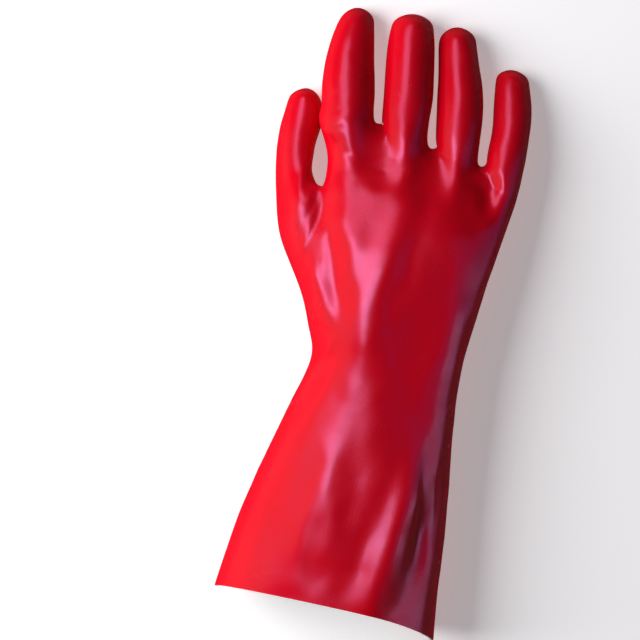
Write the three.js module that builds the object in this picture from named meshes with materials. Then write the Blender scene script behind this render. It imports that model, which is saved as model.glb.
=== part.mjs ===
// A PVC coated work gauntlet for the right hand, lying palm down with its fingers towards +Y,
// its thumb towards -X and the open end of its cuff towards -Y.
//
// The coating is dipped onto a knitted liner and is one wall with it, so the glove is a single
// hollow solid: an outer skin, an inner skin one wall further in, and a rim at the hem.
//
// The tables give sections of the outer skin. Points on these sections are joined into a
// coarse cage of four-sided faces, which is puffed out until its smooth surface passes through
// them, and divided once. Then folds are pressed in, and the skin is flattened where it lies.
import * as THREE from 'three';

// Driving dimensions, in millimetres. Angles are in degrees.
const WALL = 1.3; // liner and coating together
const CUFF_LENGTH = 141; // hem to the narrowest place of the wrist
const PALM_LENGTH = 143; // wrist to the web beside the index finger
const HEM_WIDTH = 131;
const HEM_HEIGHT = 62;
const HEM_SLANT = 3; // the thumb's side of the hem lies this much nearer the fingers
const HEM_DROOP = 4.5; // the corner at the little finger's side hangs back by this much more
const HEM_RAKE = 4.5; // the back of the hem lies this much nearer the fingers than its ends
const HEM_FADE = 3; // how fast the hem's droop and rake fade out along the cuff
const CORNER = 4; // how close the droop keeps to its corner of the hem
const CUFF_DRIFT = 8; // the hem's middle lies this far to the thumb's side of the wrist's
const WRIST_WIDTH = 87.5;
const WRIST_HEIGHT = 57;
const HAND_DRIFT = -3.8; // from the wrist's middle to the middle of the finger roots
const KNUCKLE_RISE = 24; // middle of the finger roots above the surface that the glove lies on
const WEB_GAP = 4.2; // between neighbouring finger roots
const ROOT_DIP = 4.3; // the finger roots start this much nearer the wrist than the webs
const ROOT_SIDE = 0.96; // share of the palm's length to the index root's side at the thumb
const ROUNDNESS = 0.9; // thickness of a finger as a share of its width
const FINGER_BEND = 1.15; // 1 slopes a finger down evenly, and more bends its end most
const INDEX_WIDTH = 32.4; // of each finger at its root
const MIDDLE_WIDTH = 29;
const RING_WIDTH = 26;
const LITTLE_WIDTH = 22.8;
const INDEX_LENGTH = 66.2; // of each finger from root to tip
const MIDDLE_LENGTH = 72.4;
const RING_LENGTH = 76.6;
const LITTLE_LENGTH = 59.4;
const THUMB_LENGTH = 119.5; // wrist end of its root to its tip
const THUMB_WIDTH = 24.2;
const THUMB_LEAN = 9.2; // away from the fingers
const SETTLE = 1.6; // how far the soft skin is flattened where it lies
const FOLD_DEPTH = 4.5; // of the deepest a fold may be
const FOLD_WIDTH = 26; // of the widest fold, from its bottom to where it has faded out

// Turns rows of values into objects with named columns.
function table(columns, rows) {
  const names = columns.split(' ');
  return rows.map((row) => Object.fromEntries(names.map((name, i) => [name, row[i]])));
}

// The fingers, from the thumb's side. lean is towards the thumb, in degrees. root and web are
// how far the root's middle and its side away from the thumb lie from the wrist, as shares of
// the palm's length. rise is a share of the knuckles' rise.
const FINGERS = table('name width length lean root web rise', [
  ['index', INDEX_WIDTH, INDEX_LENGTH, 5.5, 1.0, 1.0, 1.0],
  ['middle', MIDDLE_WIDTH, MIDDLE_LENGTH, 7.0, 0.972, 0.948, 1.0],
  ['ring', RING_WIDTH, RING_LENGTH, 10.4, 0.932, 0.916, 0.96],
  ['little', LITTLE_WIDTH, LITTLE_LENGTH, 5.8, 0.916, 0.922, 0.96],
]);

// Sections of each finger. at is a share of its length from the root. side is how far the
// section's middle lies beside the straight axis, and wide is its width, both as shares of
// the finger's width. The fifth section is the pad that the finger lies on.
const FINGER_SECTIONS = {
  index: table('at side wide', [
    [0.09, -0.03, 0.95],
    [0.28, -0.05, 0.95],
    [0.5, -0.065, 0.88],
    [0.67, -0.055, 0.79],
    [0.825, -0.03, 0.67],
    [0.935, 0.0, 0.49],
  ]),
  middle: table('at side wide', [
    [0.095, -0.02, 0.95],
    [0.28, 0.0, 0.99],
    [0.51, 0.0, 0.99],
    [0.71, 0.0, 0.96],
    [0.86, 0.0, 0.87],
    [0.95, 0.0, 0.68],
  ]),
  ring: table('at side wide', [
    [0.115, 0.01, 0.99],
    [0.31, 0.05, 1.045],
    [0.5, 0.065, 1.01],
    [0.66, 0.04, 0.94],
    [0.83, 0.01, 0.88],
    [0.94, 0.01, 0.71],
  ]),
  little: table('at side wide', [
    [0.12, 0.035, 1.0],
    [0.33, 0.09, 0.975],
    [0.54, 0.11, 0.99],
    [0.71, 0.08, 0.95],
    [0.85, 0.045, 0.87],
    [0.945, 0.02, 0.68],
  ]),
};
const PAD_SECTION = 4; // counted from 0

// Sections of the hand from the finger roots down to the wrist. nearThumb and nearLittle are
// how far the section's two ends lie from the wrist, as shares of the palm's length. left and
// right say how far its ends have moved out from the wrist's width (0) to that of the finger
// roots (1). top and under do the same for the two heights, and even for the spacing of the
// points along it. oval is how far the humps and hollows that go on from the fingers have faded
// into one oval, and square is 2 for a true oval and more for flatter faces.
const HAND_SECTIONS = table('nearThumb nearLittle left right top under even oval square', [
  [0.872, 0.8, 0.71, 0.92, 0.76, 0.62, 0.1, 0.4, 2.7],
  [0.774, 0.705, 0.53, 0.8, 0.55, 0.5, 0.25, 0.75, 2.6],
  [0.694, 0.605, 0.6, 0.63, 0.38, 0.4, 0.45, 0.95, 2.5],
  [0.48, 0.465, 0.8, 0.4, 0.2, 0.23, 0.65, 1, 2.5],
  [0.267, 0.31, 0.62, 0.23, 0.08, 0.1, 0.85, 1, 2.5],
  [0.124, 0.15, 0.2, 0.04, 0.02, 0.03, 1, 1, 2.6],
]);

// Sections of the cuff from the wrist to the hem. at is a share of the cuff's length. flare,
// drift and tall go from 0 at the wrist to 1 at the hem.
const CUFF_SECTIONS = table('at flare drift tall square', [
  [0, 0, 0, 0, 2.6],
  [0.2, 0.22, 0.3, 0.1, 2.5],
  [0.43, 0.5, 0.58, 0.35, 2.3],
  [0.66, 0.75, 0.84, 0.65, 2.2],
  [0.85, 0.89, 0.97, 0.87, 2.2],
  [1, 1, 1, 1, 2.2],
]);

// Sections of the thumb, which leaves the hand between its third and fifth sections. at is a
// share of the thumb's length. side, wide, thick and rise are shares of its width, and turn
// is how far the section is turned towards the hand, in degrees.
const THUMB_SECTIONS = table('at side wide thick rise turn', [
  [0.403, -0.15, 1.79, 1.4, 0.84, 67],
  [0.552, -0.237, 1.277, 1.16, 0.66, 48],
  [0.688, -0.228, 1.06, 1.0, 0.53, 24],
  [0.805, -0.138, 1.0, 0.93, 0.43, 5],
  [0.91, -0.055, 0.86, 0.79, 0.36, -6],
  [0.968, -0.03, 0.62, 0.56, 0.35, -6],
]);
const THUMB_TIP_RISE = 0.34; // share of its width
const THUMB_TOP = 3; // the hand's section, counted from the finger roots, at the thumb's crotch

// Folds in the back of the hand and cuff, as paths over the sections: each point is a section,
// counted from the finger roots, and a column of points, counted from the thumb's side. deep
// and wide are shares of the greatest depth and width, and a fold with a negative depth is a
// ridge. A path may run on past the hem.
const FOLD_STEPS = 24; // points along each fold
const FOLDS = table('deep wide path', [
  [0.75, 0.43, [[2.4, 1.0], [3.4, 1.8], [4.1, 2.8], [5.0, 3.7], [5.8, 4.2]]],
  [-0.4, 0.54, [[0.8, 5.0], [3, 5.7], [4, 5.9], [5, 5.5], [6, 5.1], [8.5, 5.3]]],
  [0.4, 0.43, [[6.4, 1.4], [7.2, 2.2], [8.4, 2]]],
  [0.75, 1.0, [[3.6, 8.4], [5.5, 8.2], [7, 8.2], [9, 8.8]]],
  [-0.3, 0.54, [[8, 5.0], [9, 5.4], [10, 5.8], [11, 6.0]]],
  [-0.7, 0.6, [[8.2, 9.4], [9.2, 9.1], [10.3, 8.6], [11.6, 8.2], [12.8, 8.0]]],
  [0.45, 0.5, [[8, 10.3], [9.2, 10.4], [10.5, 10], [12, 9.6]]],
  [0.53, 0.38, [[0.2, 10], [1.0, 10.2], [2.2, 10.6]]],
]);

// Counts that the cage is built on.
const RING = 8; // points round a finger
const BACK = 3 * FINGERS.length; // columns of points over the back of the hand
const AROUND = 2 * BACK + 2; // and all round it
const FIT_ROUNDS = 40; // of puffing the cage out to its points

const lerp = THREE.MathUtils.lerp;
const rad = THREE.MathUtils.degToRad;
const UP = new THREE.Vector3(0, 0, 1);

// The cage: points that its surface passes through, and four-sided faces.
const points = [];
const quads = [];

function point(x, y, z) {
  points.push(new THREE.Vector3(x, y, z));
  return points.length - 1;
}

// Eight points round a section. They start at its right end and go over its top.
function ring(centre, halfWidth, halfHeight, across) {
  const indices = [];
  for (let j = 0; j < RING; j += 1) {
    const angle = (2 * Math.PI * j) / RING;
    const p = centre.clone();
    p.addScaledVector(across, halfWidth * Math.cos(angle));
    p.addScaledVector(UP, halfHeight * Math.sin(angle));
    indices.push(point(p.x, p.y, p.z));
  }
  return indices;
}

// Faces between the rings of a finger, and four faces round its tip.
function digit(rings, tip) {
  for (let k = 0; k + 1 < rings.length; k += 1) {
    for (let j = 0; j < RING; j += 1) {
      const next = (j + 1) % RING;
      quads.push([rings[k][j], rings[k + 1][j], rings[k + 1][next], rings[k][next]]);
    }
  }
  const end = rings[rings.length - 1];
  for (let j = 0; j < RING; j += 2) {
    quads.push([tip, end[(j + 2) % RING], end[j + 1], end[j]]);
  }
}

// Where the finger roots, the wrist and the hem lie. The wrist's middle is the origin.
const websWidth = (FINGERS.length - 1) * WEB_GAP;
const rootsWidth = FINGERS.reduce((total, finger) => total + finger.width, websWidth);
const rootsLeft = HAND_DRIFT - rootsWidth / 2;
const rootsRight = HAND_DRIFT + rootsWidth / 2;
const wristTop = WRIST_HEIGHT - SETTLE;
const rootsThickness = (ROUNDNESS * (rootsWidth - websWidth)) / FINGERS.length;
const rootsTop = KNUCKLE_RISE + rootsThickness / 2;
const rootsUnder = KNUCKLE_RISE - rootsThickness / 2;

let edge = rootsLeft;
for (const finger of FINGERS) {
  finger.left = edge;
  finger.right = edge + finger.width;
  finger.middle = new THREE.Vector3(
    edge + finger.width / 2,
    finger.root * PALM_LENGTH,
    finger.rise * KNUCKLE_RISE,
  );
  edge = finger.right + WEB_GAP;
}

// The first section of the hand runs round the four finger roots. Each root is a ring of
// eight points, and two faces close the web between one root and the next.
const DIAGONAL = Math.SQRT1_2;
for (const [i, finger] of FINGERS.entries()) {
  const before = FINGERS[i - 1] || { web: ROOT_SIDE, middle: finger.middle };
  const halfWidth = finger.width / 2;
  const halfHeight = (ROUNDNESS * finger.width) / 2;
  const leftWeb = before.web * PALM_LENGTH;
  const rightWeb = finger.web * PALM_LENGTH;
  const c = finger.middle;
  const after = FINGERS[i + 1] || finger;
  const sideways = halfWidth * DIAGONAL;
  const upwards = halfHeight * DIAGONAL;
  const yLeft = Math.min(c.y, leftWeb) - ROOT_DIP;
  const yRight = Math.min(c.y, rightWeb) - ROOT_DIP;
  finger.rootRing = [
    point(finger.right, rightWeb, (c.z + after.middle.z) / 2),
    point(c.x + sideways, yRight, c.z + upwards),
    point(c.x, c.y - ROOT_DIP, c.z + halfHeight),
    point(c.x - sideways, yLeft, c.z + upwards),
    point(finger.left, leftWeb, (c.z + before.middle.z) / 2),
    point(c.x - sideways, yLeft, c.z - upwards),
    point(c.x, c.y - ROOT_DIP, c.z - halfHeight),
    point(c.x + sideways, yRight, c.z - upwards),
  ];
}
const firstSection = [FINGERS[0].rootRing[4]];
for (const { rootRing } of FINGERS) {
  firstSection.push(rootRing[3], rootRing[2], rootRing[1]);
}
firstSection.push(FINGERS[FINGERS.length - 1].rootRing[0]);
for (const { rootRing } of [...FINGERS].reverse()) {
  firstSection.push(rootRing[7], rootRing[6], rootRing[5]);
}
for (let i = 0; i + 1 < FINGERS.length; i += 1) {
  const here = FINGERS[i].rootRing;
  const next = FINGERS[i + 1].rootRing;
  quads.push([here[1], next[3], next[4], here[0]]);
  quads.push([here[0], next[4], next[5], here[7]]);
}

// A section of the hand or cuff, as points from its left end over the back to its right end
// and underneath to the left again. even shifts the columns from where the fingers have them,
// at 0, to equal steps round an oval, at 1.
const rootsBack = firstSection.slice(1, BACK + 1).map((index) => points[index]);
const rootsPalm = firstSection.slice(BACK + 2).reverse().map((index) => points[index]);
function section({
  left, right, yLeft, yRight, top, under, square, even = 1, oval = 1, droop = 0, rake = 0,
}) {
  const middleZ = (top + under) / 2;
  const place = (share, side, rootZ = middleZ) => {
    const bulge = side * (1 - Math.abs(share) ** square) ** (1 / square);
    const x = lerp(left, right, (share + 1) / 2);
    const straight = lerp(yLeft, yRight, (share + 1) / 2);
    const y = straight - droop * Math.max(share, 0) ** CORNER + rake * Math.max(bulge, 0);
    return point(x, y, lerp(rootZ, middleZ + (bulge * (top - under)) / 2, oval));
  };
  const columns = rootsBack.map((root, i) => {
    const rootShare = (root.x - HAND_DRIFT) / (rootsWidth / 2);
    const evenShare = -Math.cos((Math.PI * (i + 1)) / (BACK + 1));
    return { share: lerp(rootShare, evenShare, even), back: root.z, palm: rootsPalm[i].z };
  });
  const back = columns.map((column) => place(column.share, 1, column.back));
  const palm = columns.map((column) => place(column.share, -1, column.palm));
  return [place(-1, 0), ...back, place(1, 0), ...palm.reverse()];
}

const sections = [firstSection];
for (const s of HAND_SECTIONS) {
  sections.push(section({
    left: lerp(-WRIST_WIDTH / 2, rootsLeft, s.left),
    right: lerp(WRIST_WIDTH / 2, rootsRight, s.right),
    yLeft: s.nearThumb * PALM_LENGTH,
    yRight: s.nearLittle * PALM_LENGTH,
    top: lerp(wristTop, rootsTop, s.top),
    under: lerp(-SETTLE, rootsUnder, s.under),
    even: s.even,
    oval: s.oval,
    square: s.square,
  }));
}
for (const s of CUFF_SECTIONS) {
  const half = lerp(WRIST_WIDTH, HEM_WIDTH, s.flare) / 2;
  const middle = -CUFF_DRIFT * s.drift;
  const y = -CUFF_LENGTH * s.at;
  sections.push(section({
    left: middle - half,
    right: middle + half,
    yLeft: y + (s.at * HEM_SLANT) / 2,
    yRight: y - (s.at * HEM_SLANT) / 2,
    top: lerp(WRIST_HEIGHT, HEM_HEIGHT, s.tall) - SETTLE,
    under: -SETTLE,
    square: s.square,
    droop: HEM_DROOP * s.at ** HEM_FADE,
    rake: HEM_RAKE * s.at ** HEM_FADE,
  }));
}

// Faces between sections, apart from the four that the thumb grows out of.
for (let k = 0; k + 1 < sections.length; k += 1) {
  for (let c = 0; c < AROUND; c += 1) {
    const atThumb = (k === THUMB_TOP || k === THUMB_TOP + 1) && (c === 0 || c === AROUND - 1);
    const next = (c + 1) % AROUND;
    if (!atThumb) {
      quads.push([sections[k][c], sections[k + 1][c], sections[k + 1][next], sections[k][next]]);
    }
  }
}

// Fingers: each bends down until its pad lies on the surface.
for (const finger of FINGERS) {
  const rows = FINGER_SECTIONS[finger.name];
  const axis = new THREE.Vector3(-Math.sin(rad(finger.lean)), Math.cos(rad(finger.lean)), 0);
  const across = new THREE.Vector3(axis.y, -axis.x, 0);
  const bend = (at) => at ** FINGER_BEND;
  const padHeight = (ROUNDNESS * rows[PAD_SECTION].wide * finger.width) / 2 - SETTLE / 2;
  const padBend = bend(rows[PAD_SECTION].at);
  const tipRise = (padHeight - finger.middle.z * (1 - padBend)) / padBend;
  const along = (at, side) => {
    const p = finger.middle.clone();
    p.addScaledVector(axis, at * finger.length);
    p.addScaledVector(across, side * finger.width);
    p.z = lerp(finger.middle.z, tipRise, bend(at));
    return p;
  };
  const rings = rows.map(({ at, side, wide }) => {
    const halfWidth = (wide * finger.width) / 2;
    return ring(along(at, side), halfWidth, halfWidth * ROUNDNESS, across);
  });
  const tip = along(1, 0);
  digit([finger.rootRing, ...rings], point(tip.x, tip.y, tip.z));
}

// Thumb: its first ring is the edge of the gap left in the faces of the hand.
const [crotch, beside, heel] = [0, 1, 2].map((k) => sections[THUMB_TOP + k]);
const last = AROUND - 1;
const thumbRoot = [
  crotch[0], crotch[1], beside[1], heel[1], heel[0], heel[last], beside[last], crotch[last],
];
const thumbAxis = new THREE.Vector3(-Math.sin(rad(THUMB_LEAN)), Math.cos(rad(THUMB_LEAN)), 0);
const thumbAcross = new THREE.Vector3(thumbAxis.y, -thumbAxis.x, 0);
const thumbStart = points[heel[0]].clone().setZ(0);
const alongThumb = (at, side, rise) => thumbStart.clone()
  .addScaledVector(thumbAxis, at * THUMB_LENGTH)
  .addScaledVector(thumbAcross, side * THUMB_WIDTH)
  .setZ(rise * THUMB_WIDTH);
const thumbRings = THUMB_SECTIONS.map(({ at, side, wide, thick, rise, turn }) => ring(
  alongThumb(at, side, rise),
  (wide * THUMB_WIDTH) / 2,
  (thick * THUMB_WIDTH) / 2,
  thumbAcross.clone().applyAxisAngle(UP, rad(turn)),
));
const thumbTip = alongThumb(1, 0, THUMB_TIP_RISE);
digit([thumbRoot, ...thumbRings], point(thumbTip.x, thumbTip.y, thumbTip.z));

// Who lies next to whom on a surface of four-sided faces.
function neighbourhood(faces, count) {
  const around = Array.from({ length: count }, () => ({ edges: new Map(), corners: [] }));
  faces.forEach((face, f) => {
    face.forEach((v, i) => {
      for (const other of [face[(i + 1) % 4], face[(i + 3) % 4]]) {
        const { edges } = around[v];
        edges.set(other, [...(edges.get(other) || []), f]);
      }
      around[v].corners.push(face[(i + 2) % 4]);
    });
  });
  return around;
}

const sum = (list) => list.reduce((total, p) => total.add(p), new THREE.Vector3());
const mean = (list) => sum(list).divideScalar(list.length);

// Where each corner of a cage ends up on its smooth surface, after endless division.
function smoothPlaces(cage, around) {
  return cage.map((p, v) => {
    const { edges, corners } = around[v];
    const rim = [...edges].filter(([, faces]) => faces.length === 1).map(([other]) => cage[other]);
    if (rim.length === 2) {
      return sum(rim).addScaledVector(p, 4).divideScalar(6);
    }
    const n = edges.size;
    const total = p.clone().multiplyScalar(n * n);
    total.addScaledVector(sum([...edges.keys()].map((other) => cage[other])), 4);
    total.add(sum(corners.map((other) => cage[other])));
    return total.divideScalar(n * (n + 5));
  });
}

// One division of every face into four, by the rules of Catmull and Clark.
function divide(cage, faces, around) {
  const faceMiddles = faces.map((face) => mean(face.map((v) => cage[v])));
  const fine = cage.map((p, v) => {
    const { edges } = around[v];
    const middles = [...edges.keys()].map((other) => mean([p, cage[other]]));
    const rim = [...edges].filter(([, fs]) => fs.length === 1).map(([other]) => cage[other]);
    if (rim.length === 2) {
      return sum(rim).addScaledVector(p, 6).divideScalar(8);
    }
    const n = edges.size;
    const own = [...new Set([...edges.values()].flat())].map((f) => faceMiddles[f]);
    return mean(own).addScaledVector(mean(middles), 2).addScaledVector(p, n - 3).divideScalar(n);
  });
  const faceIndex = faceMiddles.map((p) => fine.push(p) - 1);
  const edgeIndex = new Map();
  const edgePoint = (a, b) => {
    const key = a < b ? `${a} ${b}` : `${b} ${a}`;
    if (!edgeIndex.has(key)) {
      const beside = around[a].edges.get(b).map((f) => faceMiddles[f]);
      const ends = [cage[a], cage[b]];
      edgeIndex.set(key, fine.push(mean(beside.length === 2 ? [...ends, ...beside] : ends)) - 1);
    }
    return edgeIndex.get(key);
  };
  const fineFaces = faces.flatMap((face, f) => face.map((v, i) => [
    v, edgePoint(v, face[(i + 1) % 4]), faceIndex[f], edgePoint(v, face[(i + 3) % 4]),
  ]));
  return [fine, fineFaces];
}

// Leave out the point inside the thumb's root, which no face uses.
const used = [...new Set(quads.flat())];
const newIndex = new Map(used.map((old, i) => [old, i]));
const targets = used.map((old) => points[old]);
const cageFaces = quads.map((face) => face.map((v) => newIndex.get(v)));
const cageAround = neighbourhood(cageFaces, targets.length);

let cage = targets.map((p) => p.clone());
for (let round = 0; round < FIT_ROUNDS; round += 1) {
  const reached = smoothPlaces(cage, cageAround);
  cage = cage.map((p, v) => p.clone().add(targets[v]).sub(reached[v]));
}
const [divided, faces] = divide(cage, cageFaces, cageAround);
const skinAround = neighbourhood(faces, divided.length);
const skin = smoothPlaces(divided, skinAround);

function normals(places) {
  const result = places.map(() => new THREE.Vector3());
  for (const [a, b, c, d] of faces) {
    const first = places[c].clone().sub(places[a]);
    const second = places[d].clone().sub(places[b]);
    const normal = first.cross(second);
    [a, b, c, d].forEach((v) => result[v].add(normal));
  }
  return result.map((n) => n.normalize());
}

// Folds: each lowers the skin along a curve over the back, and fades out sideways and
// towards its two ends.
function onBack([row, column]) {
  const k = Math.min(Math.floor(row), sections.length - 2);
  const c = Math.min(Math.floor(column), BACK);
  const at = (i, j) => points[sections[i][j]];
  const near = at(k, c).clone().lerp(at(k, c + 1), column - c);
  const far = at(k + 1, c).clone().lerp(at(k + 1, c + 1), column - c);
  return near.lerp(far, row - k);
}
const lift = skin.map(() => 0);
for (const { deep, wide, path } of FOLDS) {
  const curve = new THREE.CatmullRomCurve3(path.map(onBack));
  const line = curve.getPoints(FOLD_STEPS);
  skin.forEach((p, v) => {
    const distances = line.map((q) => q.distanceTo(p));
    const distance = Math.min(...distances);
    const end = Math.sin((Math.PI * distances.indexOf(distance)) / FOLD_STEPS);
    const reach = distance / (wide * FOLD_WIDTH);
    if (reach < 1) {
      lift[v] -= deep * FOLD_DEPTH * end * (1 - reach ** 2) ** 2;
    }
  });
}
const skinNormals = normals(skin);
skin.forEach((p, v) => {
  p.addScaledVector(skinNormals[v], lift[v]);
  p.z = Math.max(p.z, 0);
});

// The inner skin lies one wall in from the outer one, and the rim joins them at the hem.
const outward = normals(skin);
const inner = skin.map((p, v) => p.clone().addScaledVector(outward[v], -WALL));
const box = new THREE.Box3().setFromPoints(skin);
const origin = box.getCenter(new THREE.Vector3()).setZ(0);
const positions = [...skin, ...inner].flatMap((p) => p.clone().sub(origin).toArray());
const triangles = [];
const addQuad = (a, b, c, d) => triangles.push(a, b, c, a, c, d);
const count = skin.length;
for (const face of faces) {
  const [a, b, c, d] = face;
  addQuad(a, b, c, d);
  addQuad(d + count, c + count, b + count, a + count);
  face.forEach((v, i) => {
    const next = face[(i + 1) % 4];
    if (skinAround[v].edges.get(next).length === 1) {
      addQuad(next, v, v + count, next + count);
    }
  });
}

const geometry = new THREE.BufferGeometry();
geometry.setAttribute('position', new THREE.Float32BufferAttribute(positions, 3));
geometry.setIndex(triangles);
geometry.computeVertexNormals();

const pvc = new THREE.MeshStandardMaterial({ color: 0xc8081c, roughness: 0.28, metalness: 0 });
const glove = new THREE.Mesh(geometry, pvc);
glove.name = 'glove_shell';

const model = new THREE.Group();
model.add(glove);

export default model;
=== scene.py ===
"""Looks for a packed PVC work glove: its coating, knitted inside, floor, light and camera."""

import math

import bmesh
import bpy
import numpy as np
from bpy.props import FloatProperty, FloatVectorProperty, PointerProperty
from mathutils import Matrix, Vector, noise


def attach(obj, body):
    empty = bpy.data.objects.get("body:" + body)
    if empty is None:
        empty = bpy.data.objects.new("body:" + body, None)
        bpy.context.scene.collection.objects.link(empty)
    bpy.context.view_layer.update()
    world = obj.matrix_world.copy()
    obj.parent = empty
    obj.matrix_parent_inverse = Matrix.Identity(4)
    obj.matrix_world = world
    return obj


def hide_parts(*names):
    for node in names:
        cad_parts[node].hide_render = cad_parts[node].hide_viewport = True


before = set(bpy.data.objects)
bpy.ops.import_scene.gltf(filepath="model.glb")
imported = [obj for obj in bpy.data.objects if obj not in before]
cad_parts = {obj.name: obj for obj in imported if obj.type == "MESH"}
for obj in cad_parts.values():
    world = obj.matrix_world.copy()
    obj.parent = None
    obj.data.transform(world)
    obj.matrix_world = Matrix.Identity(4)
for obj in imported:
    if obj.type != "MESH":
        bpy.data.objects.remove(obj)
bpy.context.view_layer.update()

bl_info = {
    "name": "PVC Work Glove",
    "version": (1, 0, 0),
    "blender": (4, 5, 0),
    "location": "View3D > Sidebar > Glove",
    "description": "Dresses a packed work glove and sets the stage around it",
    "category": "Object",
}

MM = 0.001
NODE = "glove_shell"

# The photo shows the glove from straight above. It is turned against the glove's own axes.
VIEW_TURN = math.radians(11)
VIEW_MIDDLE = Vector((-0.0278, -0.0083, 0.025))
RIGHT = Vector((math.cos(VIEW_TURN), math.sin(VIEW_TURN), 0))
TOP = Vector((-math.sin(VIEW_TURN), math.cos(VIEW_TURN), 0))
AIM = Vector((0, 0, 0.02))

# Each lamp's name, how far it stands to the right of the glove, towards the top of the view
# and up, its size, its colour, and whether it lights the glove's colour or draws its gloss.
LAMPS = (
    ("key", -1.2, 0.22, 0.72, (1.1, 1.6), (1.0, 0.98, 1.0), "colour"),
    ("over", -0.38, 0.3, 1.4, (0.28, 0.8), (0.9, 0.48, 1.0), "gloss"),
    ("front", -0.35, 1.0, 1.1, (0.5, 0.8), (0.95, 0.5, 1.0), "gloss"),
    ("fill", 1.2, 0.0, 0.9, (0.8, 1.6), (0.5, 0.2, 1.0), "gloss"),
    ("streak", 1.25, -0.3, 0.72, (0.16, 0.9), (0.8, 0.55, 1.0), "gloss"),
)

# The rim at the hem: its faces look along -Y, and lie this near the open end.
HEM_ZONE = 0.014
HEM_FACING = -0.6

# Folds on the back of the glove, in millimetres. Each is a line of points: x, y, height and
# reach. A height below 0 is a valley, and reach is from the line to where the fold has gone.
FOLDS = (
    # Crease at the root of the thumb
    ((-42.7, 68.5, 0, 2.4), (-44.4, 58.6, -0.35, 3), (-47.2, 48.6, -0.4, 3.2),
     (-50.3, 40.2, 0, 3.4)),
    # Crease over the ball of the thumb
    ((-60.7, 35.3, 0, 2.5), (-53.6, 23.6, -0.9, 3.4), (-45.4, 12.1, -0.9, 3.6),
     (-35.1, -1.4, 0, 3.4)),
    # Edge of the step beside the thumb
    ((-50.8, 66.9, 0, 9), (-47.3, 58.1, 1.5, 11), (-45.1, 50.2, 2.3, 12),
     (-43.9, 40.9, 3.1, 11.5), (-43.6, 30.3, 2.9, 9), (-39.7, 19.1, 1.4, 6.5),
     (-34.8, 9.4, 0, 6)),
    # Floor of that step
    ((-36.7, 37.5, 0, 6), (-36.9, 29.2, -0.9, 6), (-33.7, 19.1, -0.5, 6), (-28.9, 9.4, 0, 6)),
    # Slope from that step up to the back of the hand
    ((-36.7, 80.3, 0, 8), (-35.4, 67.5, 1.2, 9), (-33.8, 55.9, 1.3, 10), (-27, 45.4, 1, 9),
     (-20.7, 34.7, 0, 8)),
    # Short fold over the thumb's side of the wrist
    ((-17.1, -14.5, 0, 3), (-20.8, -25.9, 0.8, 3.8), (-26.6, -38.9, 0.9, 4.2),
     (-30.9, -50.5, 0.5, 4.4), (-35.7, -59.7, 0, 4)),
    # Hollow under that fold
    ((-15.1, -24.8, 0, 5), (-19.5, -38.7, -0.7, 6), (-26.2, -53.1, 0, 6)),
    # Ridge down the thumb's side of the cuff
    ((-5.3, -75.2, 0, 10), (-9.8, -101, 0.8, 11), (-13.6, -124.4, 1.1, 11),
     (-14.2, -145.9, 0.7, 11), (-13.8, -166, 0, 11)),
    # Hollow beside that ridge
    ((-28.3, -97.5, 0, 10), (-31.9, -122, -0.5, 11), (-33.1, -146, -0.4, 12),
     (-34.4, -164.1, 0, 12)),
    # Crease down the little finger's side of the cuff
    ((48.6, -58.8, 0, 4), (47.5, -78, -0.5, 4.4), (49.5, -100.2, -0.7, 4.6),
     (52.2, -126.4, -0.5, 5), (53.2, -150, 0, 5)),
    # Ridge beside that crease
    ((54.2, -63.6, 0, 4), (54.2, -81.5, 0.5, 4.4), (56.3, -104.8, 0.6, 4.6),
     (59, -128.1, 0.4, 5), (61.8, -151.3, 0, 5)),
    # Dimple under the root of the little finger
    ((39.8, 102.3, 0, 4), (45.5, 97.5, -0.5, 4.4), (52.7, 91.2, -0.6, 5), (60.7, 83.8, -0.3, 5),
     (65.8, 78.9, 0, 5)),
    # Soft ridge down the side of the hand
    ((67.6, 72.7, 0, 5), (64.6, 48.3, 0.6, 5), (60.4, 20.8, 0.7, 5), (56.8, -9.6, 0.5, 5),
     (54.4, -39.8, 0, 5)),
    # Line over the knuckles
    ((-24.8, 86.2, 0, 2), (-16.6, 86.6, 0.2, 2.2), (-6.1, 88.1, 0.2, 2.2), (2.8, 91, 0, 2)),
    # Dent in it under the index finger
    ((-34.1, 91.5, 0, 3), (-30.2, 89.3, -0.4, 3.4), (-25, 87.4, 0, 3)),
    # Dent in it beside the middle finger
    ((-18.6, 85, 0, 2.4), (-10.2, 84.3, -0.4, 2.8), (-3.3, 85.6, 0, 2.4)),
    # Dent in it under the middle finger
    ((-2.4, 87, 0, 2.4), (2.3, 87.3, -0.35, 2.6), (6.7, 89.4, 0, 2.4)),
    # Three creases over the root of the index finger
    ((-48.1, 120.3, 0, 2), (-41.5, 123.4, -0.25, 2.2), (-33.3, 123.8, 0, 2)),
    ((-47.2, 109.8, 0, 2), (-39.6, 113.6, -0.3, 2.2), (-30.1, 113.7, 0, 2)),
    ((-45.2, 99.5, 0, 2), (-37.6, 103.3, -0.3, 2.2), (-27.5, 102.9, 0, 2)),
    # Crease near the tip of the middle finger
    ((-20.4, 155.4, 0, 2.6), (-10.9, 155.5, -0.3, 3.2), (0.2, 159.4, 0, 2.6)),
)
FOLD_SPREAD = 0.55  # share of its reach at which a fold has fallen to about a third
BACK_FROM = -0.25  # a normal's z where the folds begin to fade in
BACK_SPAN = 0.5  # and how much further up they are at their full height
SHARP_TURN = math.radians(55)  # faces that meet at more than this show an edge

# Slight unevenness all over: broad waves and finer ripples
UNEVENNESS = 0.45  # millimetres
WAVE_SCALE = 38
RIPPLE_SCALE = 95
RIPPLE_SHARE = 0.4

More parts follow.
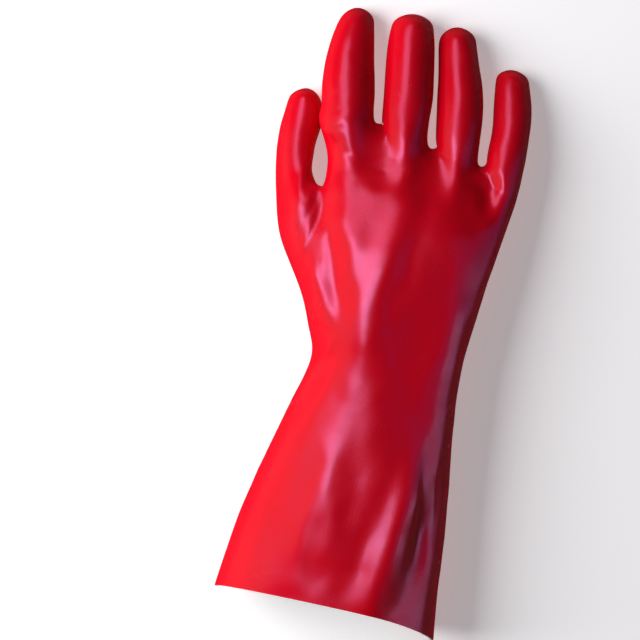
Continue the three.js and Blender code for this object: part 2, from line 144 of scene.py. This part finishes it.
# The digits in millimetres from above: root, tip, half width and half thickness. Their
# knitted tubes run along these lines.
DIGITS = (
    ((-34, 108), (-40.5, 177), 14.5, 13),
    ((0.8, 104), (-8.1, 179), 13.8, 12.5),
    ((32.5, 98), (18.6, 177), 13, 11.5),
    ((61, 96), (55, 158), 11, 10),
    ((-47, 45), (-61.3, 124), 13, 12),
)
DIGIT_REACH = 1.35  # of a digit's half width that still counts as the digit

# The hand and cuff for the knit's map, in millimetres: it ends at the finger roots, and the
# thumb is left out past its edge and above its root. Its bands are measured every step.
ROOTS_Y = 112
THUMB_X = -43
THUMB_Y = 20
BANDS_FROM = -180
BAND_STEP = 10
BAND_HALF = 8
WRIST_GIRTH = 0.24  # metres

# The knit under the coating, as shares of its pitch and as depths in the relief
BAND_PERIOD = 0.314  # of a wave texture at scale 1
WALE_WIDTH = 1.3
COURSE_RELIEF = 0.3
WALE_RELIEF = 0.12

# The coating's own grain: sizes of the noise, and depths in the relief
PATCH_SCALE = 28.0
PATCH_EDGES = (0.35, 0.7)  # of the noise: where the knit starts, and where it shows fully
MOTTLE_SCALE = 9.0
MOTTLE_EDGES = (0.3, 0.7)
DIMPLE_SCALE = 260.0
FINE_SCALE = 900.0
SPECK_SCALE = 95.0
SPECK_EDGES = (0.09, 0.04)  # from a speck's middle: where it starts, and where it is full
DIMPLE_RELIEF = 0.5
FINE_RELIEF = 0.12
SPECK_RELIEF = 0.08
COAT_RELIEF = 0.00012  # metres that a relief of 1 stands for
COAT_BUMP = 0.55
MOTTLE_SHARE = 0.55
SPECK_SHARE = 0.06
COAT_IOR = 1.45
COAT_ROUGHNESS = 0.2
PATCH_ROUGHNESS = 0.06
DIMPLE_ROUGHNESS = 0.05

# The liner's knit inside, as shares of its pitch and as depths in its relief
LINER_WALE = 2.2
LINER_COURSE = 1.4
STITCH_SLANT = 2.2
FUZZ_SCALE = 700.0
WALE_HEIGHT = 0.6
STITCH_HEIGHT = 0.4
FUZZ_HEIGHT = 0.3
LINER_RELIEF = 0.0004  # metres that a relief of 1 stands for
LINER_BUMP = 0.8
# How far the knit's relief lifts its colour from the painted shade in its gaps to the pale yarn
LINER_CONTRAST = 0.7

FLOOR_REACH = 3.0  # metres from its middle to its edges
FLOOR_SHADE = (0.8, 0.8, 0.8)
FLOOR_GLOW = 0.35
FLOOR_CLOUD_SCALE = 1.5
FLOOR_CLOUDS = 0.03
MATT = 0.9  # roughness of the floor and of the knit inside
WORLD_COLOUR = (0.7, 0.72, 1.0)
WORLD_STRENGTH = 0.02


def smooth_line(points, steps=16):
    """Points along a smooth curve through the given ones."""
    p = np.array([points[0], *points, points[-1]], float)
    out = []
    for a, b, c, d in zip(p[:-3], p[1:-2], p[2:-1], p[3:]):
        for t in np.linspace(0, 1, steps, endpoint=False):
            out.append(
                0.5 * ((2 * b) + (c - a) * t + (2 * a - 5 * b + 4 * c - d) * t**2
                       + (3 * b - 3 * c + d - a) * t**3)
            )
    out.append(p[-2])
    return np.array(out)


def fold_lift(places, points):
    """How far one fold lifts each place, in millimetres."""
    line = smooth_line(points)
    apart = np.linalg.norm(places[:, None, :] - line[None, :, :2], axis=2)
    nearest = apart.argmin(axis=1)
    height, reach = line[nearest, 2], line[nearest, 3]
    return height * np.exp(-((apart.min(axis=1) / (FOLD_SPREAD * reach)) ** 2))


class Wire:
    """A shader socket that takes part in plain sums."""

    def __init__(self, tree, socket):
        self.tree = tree
        self.socket = socket

    @classmethod
    def make(cls, tree, kind, settings=None, inputs=None, output=0):
        """Adds a node: its settings first, then the values or links of its sockets."""
        node = tree.nodes.new(kind)
        for name, value in (settings or {}).items():
            setattr(node, name, value)
        for name, value in (inputs or {}).items():
            if isinstance(value, Wire):
                tree.links.new(value.socket, node.inputs[name])
            else:
                node.inputs[name].default_value = value
        return cls(tree, node.outputs[output])

    def sum(self, operation, *values):
        """One step of shader arithmetic on the values."""
        inputs = dict(enumerate(values))
        return Wire.make(self.tree, "ShaderNodeMath", {"operation": operation}, inputs)

    def __add__(self, other):
        return self.sum("ADD", self, other)

    def __radd__(self, other):
        return self.sum("ADD", other, self)

    def __sub__(self, other):
        return self.sum("SUBTRACT", self, other)

    def __rsub__(self, other):
        return self.sum("SUBTRACT", other, self)

    def __mul__(self, other):
        return self.sum("MULTIPLY", self, other)

    def __rmul__(self, other):
        return self.sum("MULTIPLY", other, self)


def new_finish(name):
    """An empty material, with its tree and its output node."""
    material = bpy.data.materials.new(name)
    material.use_nodes = True
    tree = material.node_tree
    tree.nodes.clear()
    return material, tree, tree.nodes.new("ShaderNodeOutputMaterial")


def coat_finish(colours, sizes):
    """Glossy red PVC, with the liner's knit showing faintly through it."""
    material, tree, output = new_finish("red_pvc_coating")
    place = Wire.make(tree, "ShaderNodeTexCoord", output="Object")
    knit = Wire.make(tree, "ShaderNodeUVMap", {"uv_map": "knit"})

    def grain(scale, detail=2.0):
        inputs = {"Vector": place, "Scale": scale, "Detail": detail}
        return Wire.make(tree, "ShaderNodeTexNoise", inputs=inputs)

    def spread(value, low, high):
        inputs = {"Value": value, "From Min": low, "From Max": high}
        return Wire.make(tree, "ShaderNodeMapRange", inputs=inputs)

    def bands(direction, scale, settings):
        shape = {"wave_type": "BANDS", "bands_direction": direction, "wave_profile": "SIN"}
        inputs = {"Vector": knit, "Scale": scale, **settings}
        return Wire.make(tree, "ShaderNodeTexWave", shape, inputs)

    pitch = sizes.knit_pitch
    courses = bands("Y", BAND_PERIOD / pitch, {"Distortion": 1.2, "Detail": 1.0})
    wales = bands("X", BAND_PERIOD / (WALE_WIDTH * pitch), {"Distortion": 1.0})
    patches = spread(grain(PATCH_SCALE, 3.0), *PATCH_EDGES)
    mottle = spread(grain(MOTTLE_SCALE, 3.0), *MOTTLE_EDGES)
    dimples = grain(DIMPLE_SCALE)
    fine = grain(FINE_SCALE)
    cells = {"Vector": place, "Scale": SPECK_SCALE}
    specks = spread(Wire.make(tree, "ShaderNodeTexVoronoi", inputs=cells), *SPECK_EDGES)

    def mixed(share, first, second):
        return Wire.make(
            tree,
            "ShaderNodeMix",
            {"data_type": "RGBA"},
            {"Factor": share, 6: first, 7: second},
            output=2,
        )

    base = mixed(mottle * MOTTLE_SHARE, (*colours.coat, 1.0), (*colours.coat_deep, 1.0))
    base = mixed(specks * SPECK_SHARE, base, (*colours.speck, 1.0))
    height = courses * COURSE_RELIEF * patches + wales * WALE_RELIEF * patches
    height = height + dimples * DIMPLE_RELIEF + fine * FINE_RELIEF
    height = height + specks * SPECK_RELIEF
    bump = Wire.make(
        tree,
        "ShaderNodeBump",
        inputs={"Strength": COAT_BUMP, "Distance": COAT_RELIEF, "Height": height},
    )
    roughness = COAT_ROUGHNESS + patches * PATCH_ROUGHNESS + dimples * DIMPLE_ROUGHNESS
    surface = Wire.make(
        tree,
        "ShaderNodeBsdfPrincipled",
        inputs={
            "Base Color": base,
            "Roughness": roughness,
            "IOR": COAT_IOR,
            "Normal": bump,
        },
    )
    tree.links.new(surface.socket, output.inputs["Surface"])
    return material


def liner_finish(colours, sizes):
    """The pale cotton knit inside, in wales and courses, with painted shade between its
    stitches.
    """
    material, tree, output = new_finish("cotton_knit")
    knit = Wire.make(tree, "ShaderNodeUVMap", {"uv_map": "knit"})
    place = Wire.make(tree, "ShaderNodeTexCoord", output="Object")
    apart = Wire.make(tree, "ShaderNodeSeparateXYZ", inputs={"Vector": knit})
    pitch = sizes.knit_pitch
    across = Wire(tree, apart.socket.node.outputs["X"]) * (math.tau / (LINER_WALE * pitch))
    along = Wire(tree, apart.socket.node.outputs["Y"]) * (math.tau / (LINER_COURSE * pitch))
    wale = across.sum("COSINE", across) * 0.5 + 0.5
    stitch = along + wale * STITCH_SLANT
    stitch = stitch.sum("COSINE", stitch) * 0.5 + 0.5
    fuzz = Wire.make(
        tree,
        "ShaderNodeTexNoise",
        inputs={"Vector": place, "Scale": FUZZ_SCALE, "Detail": 3.0},
    )
    height = wale * WALE_HEIGHT + stitch * wale * STITCH_HEIGHT + fuzz * FUZZ_HEIGHT
    # Painted shade: where the knit's relief is low, between its stitches, the colour turns
    # darker.
    base = Wire.make(
        tree,
        "ShaderNodeMix",
        {"data_type": "RGBA"},
        {
            "Factor": height * LINER_CONTRAST,
            6: (*colours.liner_painted_shade, 1.0),
            7: (*colours.liner, 1.0),
        },
        output=2,
    )
    bump = Wire.make(
        tree,
        "ShaderNodeBump",
        inputs={"Strength": LINER_BUMP, "Distance": LINER_RELIEF, "Height": height},
    )
    surface = Wire.make(
        tree,
        "ShaderNodeBsdfPrincipled",
        inputs={"Base Color": base, "Roughness": MATT, "Normal": bump},
    )
    tree.links.new(surface.socket, output.inputs["Surface"])
    return material


def floor_finish(colours):
    """A plain pale matt floor."""
    material, tree, output = new_finish("pale_floor")
    place = Wire.make(tree, "ShaderNodeTexCoord", output="Object")
    inputs = {"Vector": place, "Scale": FLOOR_CLOUD_SCALE}
    cloud = Wire.make(tree, "ShaderNodeTexNoise", inputs=inputs)
    base = Wire.make(
        tree,
        "ShaderNodeMix",
        {"data_type": "RGBA"},
        {"Factor": cloud * FLOOR_CLOUDS, 6: (*colours.floor, 1.0), 7: (*FLOOR_SHADE, 1.0)},
        output=2,
    )
    surface = Wire.make(
        tree,
        "ShaderNodeBsdfPrincipled",
        inputs={
            "Base Color": base,
            "Roughness": MATT,
            "Emission Color": (1.0, 1.0, 1.0, 1.0),
            "Emission Strength": FLOOR_GLOW,
        },
    )
    tree.links.new(surface.socket, output.inputs["Surface"])
    return material


def outer_skin(mesh):
    """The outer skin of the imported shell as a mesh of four-sided faces."""
    bm = bmesh.new()
    bm.from_mesh(mesh)
    bmesh.ops.remove_doubles(bm, verts=bm.verts, dist=1e-6)
    bm.normal_update()
    hem = min(v.co.y for v in bm.verts)
    rim = [
        f
        for f in bm.faces
        if f.calc_center_median().y < hem + HEM_ZONE and f.normal.y < HEM_FACING
    ]
    bmesh.ops.delete(bm, geom=rim, context="FACES")
    left = set(bm.faces)
    skins = []
    while left:
        start = left.pop()
        skin, queue = [start], [start]
        while queue:
            for edge in queue.pop().edges:
                for face in edge.link_faces:
                    if face in left:
                        left.remove(face)
                        skin.append(face)
                        queue.append(face)
        skins.append(skin)
    if len(skins) != 2:
        raise RuntimeError(f"the shell fell into {len(skins)} skins, not 2")
    skins.sort(key=lambda skin: sum(f.calc_area() for f in skin))
    bmesh.ops.delete(bm, geom=skins[0], context="FACES")
    bmesh.ops.join_triangles(
        bm,
        faces=bm.faces,
        angle_face_threshold=math.pi,
        angle_shape_threshold=math.pi,
    )
    skin = bpy.data.meshes.new("glove_coat")
    bm.to_mesh(skin)
    bm.free()
    return skin


def places_of(mesh):
    """The mesh's points, one to a row."""
    co = np.zeros(len(mesh.vertices) * 3)
    mesh.vertices.foreach_get("co", co)
    return co.reshape(-1, 3)


def normals_of(mesh):
    """The normals at the mesh's points, one to a row."""
    co = np.zeros(len(mesh.vertices) * 3)
    mesh.vertex_normals.foreach_get("vector", co)
    return co.reshape(-1, 3)


def put(mesh, places):
    """Moves the mesh's points to the places."""
    mesh.vertices.foreach_set("co", places.astype(np.float32).ravel())
    mesh.update()


def applied(piece):
    """Replaces the piece's mesh by what its modifiers make of it."""
    graph = bpy.context.evaluated_depsgraph_get()
    mesh = bpy.data.meshes.new_from_object(piece.evaluated_get(graph))
    piece.modifiers.clear()
    piece.data = mesh
    return mesh


def rounded(piece, levels=2, rounds=4):
    """Divides the piece smoothly, and keeps its corners where they were."""
    mesh = piece.data
    target = places_of(mesh)
    count = len(target)
    smooth = piece.modifiers.new("rounding", "SUBSURF")
    smooth.levels = levels
    smooth.render_levels = levels
    for _ in range(rounds):
        graph = bpy.context.evaluated_depsgraph_get()
        shown = piece.evaluated_get(graph).to_mesh()
        reached = places_of(shown)[:count]
        piece.evaluated_get(graph).to_mesh_clear()
        put(mesh, places_of(mesh) + target - reached)
    return applied(piece)


def sculpt(mesh, depth):
    """Presses and raises the folds in the back of the glove, and roughens it slightly."""
    places = places_of(mesh)
    normals = normals_of(mesh)
    above = np.clip((normals[:, 2] - BACK_FROM) / BACK_SPAN, 0, 1)
    flat = places[:, :2] / MM
    lift = sum(fold_lift(flat, fold) for fold in FOLDS) * depth
    waves = [noise.noise(Vector(p) * WAVE_SCALE) for p in places]
    ripples = [noise.noise(Vector(p) * RIPPLE_SCALE) for p in places]
    uneven = np.array(waves) + RIPPLE_SHARE * np.array(ripples)
    lift = lift * above + uneven * UNEVENNESS
    places += normals * (lift * MM)[:, None]
    places[:, 2] = np.maximum(places[:, 2], 0)
    put(mesh, places)


def nearest_digit(x, y):
    """The digit that holds a point, or None for the hand and the cuff."""
    for number, (root, tip, half, _) in enumerate(DIGITS):
        along = np.subtract(tip, root)
        length = np.hypot(*along)
        along = along / length
        off = np.array([x, y]) - root
        ahead = off @ along
        aside = abs(off[0] * along[1] - off[1] * along[0])
        if 0 < ahead and aside < half * DIGIT_REACH:
            return number
    return None


def knit_map(mesh):
    """A map that follows the knitted liner: u round the hand or digit, v along it, in metres."""
    places = places_of(mesh) / MM
    uv = mesh.uv_layers.new(name="knit")
    steps = np.arange(BANDS_FROM, ROOTS_Y, float(BAND_STEP))
    beside_thumb = (places[:, 0] > THUMB_X) | (places[:, 1] < THUMB_Y)
    hand = places[(places[:, 1] < ROOTS_Y) & beside_thumb]
    middle, half, tall = [], [], []
    for y in steps:
        band = hand[np.abs(hand[:, 1] - y) < BAND_HALF]
        low, high = band.min(axis=0), band.max(axis=0)
        middle.append((low[0] + high[0]) / 2)
        half.append((high[0] - low[0]) / 2)
        tall.append(high[2] / 2)
    for polygon in mesh.polygons:
        corners = places[list(polygon.vertices)]
        centre = corners.mean(axis=0)
        number = nearest_digit(centre[0], centre[1])
        if number is None:
            x = corners[:, 0] - np.interp(corners[:, 1], steps, middle)
            z = corners[:, 2] - np.interp(corners[:, 1], steps, tall)
            turn = np.arctan2(
                z / np.interp(corners[:, 1], steps, tall),
                x / np.interp(corners[:, 1], steps, half),
            )
            girth = WRIST_GIRTH
            along = corners[:, 1] * MM
        else:
            root, tip, wide, thick = DIGITS[number]
            way = np.subtract(tip, root)
            way = way / np.hypot(*way)
            off = corners[:, :2] - root
            aside = off[:, 0] * way[1] - off[:, 1] * way[0]
            turn = np.arctan2((corners[:, 2] - thick) / thick, aside / wide)
            girth = math.tau * wide * MM
            along = (off @ way + root[1]) * MM
        turn = np.where(turn < turn.max() - math.pi, turn + math.tau, turn)
        for loop, u, v in zip(polygon.loop_indices, turn / math.tau * girth, along):
            uv.data[loop].uv = (u, v)


def walled(piece, wall):
    """Gives the skin its wall inwards, with the knitted finish on the inside and the rim."""
    thick = piece.modifiers.new("wall", "SOLIDIFY")
    thick.thickness = wall
    thick.offset = -1.0
    thick.use_rim = True
    thick.material_offset = 1
    thick.material_offset_rim = 1
    mesh = applied(piece)
    for polygon in mesh.polygons:
        polygon.use_smooth = True
    mesh.set_sharp_from_angle(angle=SHARP_TURN)
    return mesh


class GloveSizes(bpy.types.PropertyGroup):
    """Sizes of the glove's wall, folds and knit."""

    wall: FloatProperty(
        name="Wall",
        description="Thickness of the liner and its coating together",
        default=0.0013,
        min=0.001,
        max=0.003,
        precision=4,
        unit="LENGTH",
    )
    fold_depth: FloatProperty(
        name="Fold depth",
        description="How deep the folds in the back are, as a share of the worn glove's",
        default=1.0,
        min=0.0,
        max=2.0,
        subtype="FACTOR",
    )
    knit_pitch: FloatProperty(
        name="Knit pitch",
        description="Height of one row of the liner's stitches",
        default=0.0011,
        min=0.0005,
        max=0.003,
        precision=4,
        unit="LENGTH",
    )


class GloveColours(bpy.types.PropertyGroup):
    """Colours of the coating, the liner and the floor."""

    coat: FloatVectorProperty(
        name="Coating",
        description="Red of the coating where it is thick",
        default=(0.72, 0.0004, 0.012),
        min=0.0,
        max=1.0,
        subtype="COLOR",
    )
    coat_deep: FloatVectorProperty(
        name="Deep coating",
        description="Darker red in soft patches of the coating",
        default=(0.62, 0.0003, 0.008),
        min=0.0,
        max=1.0,
        subtype="COLOR",
    )
    speck: FloatVectorProperty(
        name="Specks",
        description="Tiny pale specks in the coating",
        default=(0.9, 0.12, 0.08),
        min=0.0,
        max=1.0,
        subtype="COLOR",
    )
    liner: FloatVectorProperty(
        name="Liner",
        description="Cotton knit inside the glove",
        default=(0.72, 0.66, 0.58),
        min=0.0,
        max=1.0,
        subtype="COLOR",
    )
    # Painted shade for the low gaps between the knit's stitches.
    liner_painted_shade: FloatVectorProperty(
        name="Liner between stitches",
        description="The knit's darker gaps between its stitches",
        default=(0.42, 0.36, 0.31),
        min=0.0,
        max=1.0,
        subtype="COLOR",
    )
    floor: FloatVectorProperty(
        name="Floor",
        description="The pale floor that the glove lies on",
        default=(0.92, 0.92, 0.92),
        min=0.0,
        max=1.0,
        subtype="COLOR",
    )


class GloveStage(bpy.types.PropertyGroup):
    """Where the camera stands and how strong the lights are."""

    camera_height: FloatProperty(
        name="Camera height",
        description="Height of the camera above the floor",
        default=1.8,
        min=0.6,
        max=4.0,
        unit="LENGTH",
    )
    view_width: FloatProperty(
        name="View width",
        description="Width that the camera sees at the height of the glove",
        default=0.3733,
        min=0.1,
        max=1.0,
        unit="LENGTH",
    )
    key_power: FloatProperty(
        name="Key light",
        description="Power of the large soft light at the left",
        default=36.5,
        min=0.0,
        max=500.0,
        unit="POWER",
    )
    over_power: FloatProperty(
        name="Overhead light",
        description="Power of the light over the glove, which draws its highlights",
        default=10.0,
        min=0.0,
        max=500.0,
        unit="POWER",
    )
    front_power: FloatProperty(
        name="Finger light",
        description="Power of the light beyond the fingers, which draws their sheen",
        default=6.0,
        min=0.0,
        max=500.0,
        unit="POWER",
    )
    fill_power: FloatProperty(
        name="Fill light",
        description="Power of the weak light at the right",
        default=2.8,
        min=0.0,
        max=500.0,
        unit="POWER",
    )
    streak_power: FloatProperty(
        name="Streak light",
        description="Power of the narrow light at the right",
        default=1.5,
        min=0.0,
        max=500.0,
        unit="POWER",
    )


class GLOVE_OT_shell(bpy.types.Operator):
    """Makes the coated glove with its folds, its wall and its knitted inside"""

    bl_idname = "glove.shell"
    bl_label = "Coated Glove"

    def execute(self, context):
        sizes = context.scene.glove_sizes
        colours = context.scene.glove_colours
        piece = bpy.data.objects.new("glove_coat", outer_skin(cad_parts[NODE].data))
        context.scene.collection.objects.link(piece)
        mesh = rounded(piece)
        sculpt(mesh, sizes.fold_depth)
        knit_map(mesh)
        mesh.materials.append(coat_finish(colours, sizes))
        mesh.materials.append(liner_finish(colours, sizes))
        mesh = walled(piece, sizes.wall)
        mesh.name = "glove_coat"
        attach(piece, "root")
        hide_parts(NODE)
        return {"FINISHED"}


def panel_light(name, place, size, power, colour, use):
    """A rectangular lamp that faces the glove, for its colour or for its gloss."""
    data = bpy.data.lights.new(name, "AREA")
    data.shape = "RECTANGLE"
    data.size, data.size_y = size
    data.energy = power
    data.color = colour
    lamp = bpy.data.objects.new(name, data)
    lamp.location = place
    lamp.rotation_mode = "QUATERNION"
    lamp.rotation_quaternion = (AIM - place).to_track_quat("-Z", "Y")
    lamp.visible_diffuse = use == "colour"
    lamp.visible_glossy = use == "gloss"
    bpy.context.scene.collection.objects.link(lamp)


class GLOVE_OT_stage(bpy.types.Operator):
    """Lays the pale floor and sets the lights and the camera"""

    bl_idname = "glove.stage"
    bl_label = "Stage"

    def execute(self, context):
        scene = context.scene
        stage = scene.glove_stage
        mesh = bpy.data.meshes.new("floor")
        bm = bmesh.new()
        bmesh.ops.create_grid(bm, x_segments=1, y_segments=1, size=FLOOR_REACH)
        bm.to_mesh(mesh)
        bm.free()
        mesh.materials.append(floor_finish(scene.glove_colours))
        floor = bpy.data.objects.new("floor", mesh)
        floor.visible_glossy = False
        scene.collection.objects.link(floor)

        world = bpy.data.worlds.new("studio")
        world.use_nodes = True
        sky = world.node_tree.nodes["Background"]
        sky.inputs["Color"].default_value = (*WORLD_COLOUR, 1)
        sky.inputs["Strength"].default_value = WORLD_STRENGTH
        scene.world = world
        scene.view_settings.view_transform = "Standard"

        for name, right, top, up, size, colour, use in LAMPS:
            power = getattr(stage, f"{name}_power")
            place = RIGHT * right + TOP * top + Vector((0, 0, up))
            panel_light(name, place, size, power, colour, use)

        data = bpy.data.cameras.new("camera")
        camera = bpy.data.objects.new("camera", data)
        camera.location = (VIEW_MIDDLE.x, VIEW_MIDDLE.y, stage.camera_height)
        camera.rotation_euler = (0, 0, VIEW_TURN)
        data.lens = data.sensor_width * (stage.camera_height - VIEW_MIDDLE.z) / stage.view_width
        data.clip_start = 0.05
        data.clip_end = 20
        scene.collection.objects.link(camera)
        scene.camera = camera
        return {"FINISHED"}


class GLOVE_PT_panel(bpy.types.Panel):
    """The glove's sizes, colours, stage and buttons"""

    bl_idname = "GLOVE_PT_panel"
    bl_label = "Work Glove"
    bl_space_type = "VIEW_3D"
    bl_region_type = "UI"
    bl_category = "Glove"

    def draw(self, context):
        layout = self.layout
        scene = context.scene
        for group in (scene.glove_sizes, scene.glove_colours, scene.glove_stage):
            box = layout.box()
            for name in group.bl_rna.properties.keys():
                if name not in ("rna_type", "name"):
                    box.prop(group, name)
        layout.operator("glove.shell")
        layout.operator("glove.stage")


CLASSES = (GloveSizes, GloveColours, GloveStage, GLOVE_OT_shell, GLOVE_OT_stage, GLOVE_PT_panel)


def register():
    for cls in CLASSES:
        bpy.utils.register_class(cls)
    bpy.types.Scene.glove_sizes = PointerProperty(type=GloveSizes)
    bpy.types.Scene.glove_colours = PointerProperty(type=GloveColours)
    bpy.types.Scene.glove_stage = PointerProperty(type=GloveStage)


def unregister():
    del bpy.types.Scene.glove_stage
    del bpy.types.Scene.glove_colours
    del bpy.types.Scene.glove_sizes
    for cls in reversed(CLASSES):
        bpy.utils.unregister_class(cls)


def main():
    register()
    bpy.ops.glove.shell()
    bpy.ops.glove.stage()


if __name__ == "__main__":
    main()
